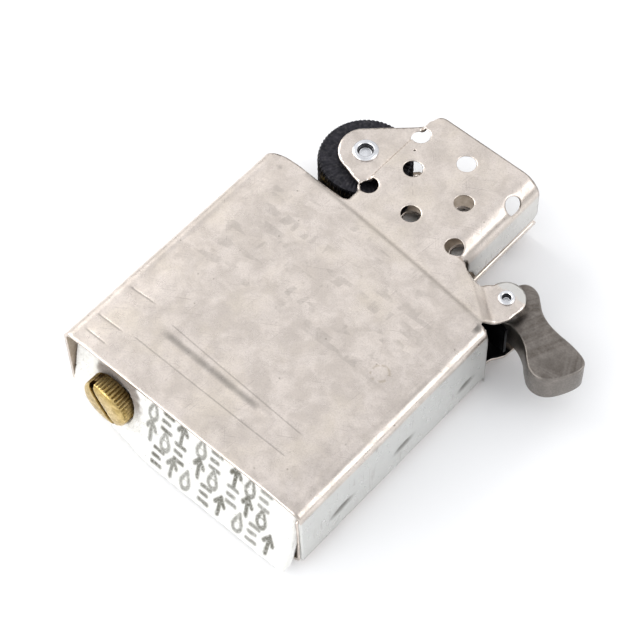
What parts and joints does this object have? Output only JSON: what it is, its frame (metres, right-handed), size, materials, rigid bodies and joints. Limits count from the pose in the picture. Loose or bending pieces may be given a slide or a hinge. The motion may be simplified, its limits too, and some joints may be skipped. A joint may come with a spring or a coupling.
{
  "type": "lighter insert",
  "caption": "Removable metal insert of a windproof flip-top lighter: can, perforated chimney, flint wheel, cam lever, flint screw and felt base.",
  "frame": {"origin": "middle of the can's flat back face, on the plane it rests on", "axes": "+Z out of the front face, +Y from the felt base towards the chimney, +X towards the cam lever"},
  "size_m": [0.0458, 0.0539, 0.0116],
  "materials": {
    "stainless": "satin sheet, lightly worn",
    "rivet_steel": "bright",
    "spring_steel": "satin",
    "wheel_black": "black oxide, matt",
    "cam_steel": "dull, warm grey",
    "brass": "worn, lightly tarnished",
    "flint_grey": "matt",
    "felt_white": "felt",
    "cotton_white": "loose fibre"
  },
  "bodies": {
    "case": {"insert_shell": "stainless", "top_plate": "stainless", "wheel_rivet": "rivet_steel", "cam_rivet": "rivet_steel", "cam_spring_rivet": "rivet_steel", "flint_tube": "brass", "felt_anchor": "felt_white", "wick": "cotton_white", "packing_wad_1": "cotton_white", "packing_wad_2": "cotton_white", "packing_wad_3": "cotton_white", "packing_wad_4": "cotton_white", "packing_wad_5": "cotton_white", "packing_wad_6": "cotton_white"},
    "wheel": {"flint_wheel": "wheel_black"},
    "cam": {"cam_lever": "cam_steel"},
    "cam_leaf": {"cam_spring": "spring_steel"},
    "flint_feed": {"flint": "flint_grey", "spring_tip": "brass"},
    "screw_travel": {"flint_spring": "spring_steel"},
    "screw": {"flint_screw": "brass"},
    "flap": {"felt_flap": "felt_white"}
  },
  "joints": [
    {"name": "wheel_spin", "type": "hinge", "parent": "case", "child": "wheel", "pos_m": [-0.00935, 0.0246, 0.0058], "axis": [0, 0, 1], "continuous": true},
    {"name": "cam_swing", "type": "hinge", "parent": "case", "child": "cam", "pos_m": [0.0162, 0.0197, 0.0058], "axis": [0, 0, 1], "range_deg": [-4, 110]},
    {"name": "leaf_flex", "type": "hinge", "parent": "case", "child": "cam_leaf", "pos_m": [0.0109, 0.01545, 0.0058], "axis": [0, 0, 1], "range_deg": [-4, 0], "stiffness_Nm_per_rad": 0.05},
    {"name": "flint_push", "type": "slide", "parent": "case", "child": "flint_feed", "axis": [0, -1, 0], "range_m": [0, 0.002], "stiffness_N_per_m": 400, "deforming": ["flint_spring"]},
    {"name": "screw_turn", "type": "hinge", "parent": "screw_travel", "child": "screw", "pos_m": [-0.01035, -0.018, 0.0058], "axis": [0, -1, 0], "range_deg": [0, 1801]},
    {"name": "screw_out", "type": "slide", "parent": "case", "child": "screw_travel", "axis": [0, -1, 0], "range_m": [0, 0.0035]},
    {"name": "flap_lift", "type": "hinge", "parent": "case", "child": "flap", "pos_m": [-0.0062, -0.0198, 0.0058], "axis": [0, 0, 1], "range_deg": [-55, 0]}
  ],
  "couplings": [
    {"joint": "screw_turn", "follows": "screw_out", "rad_per_m": 8976}
  ]
}
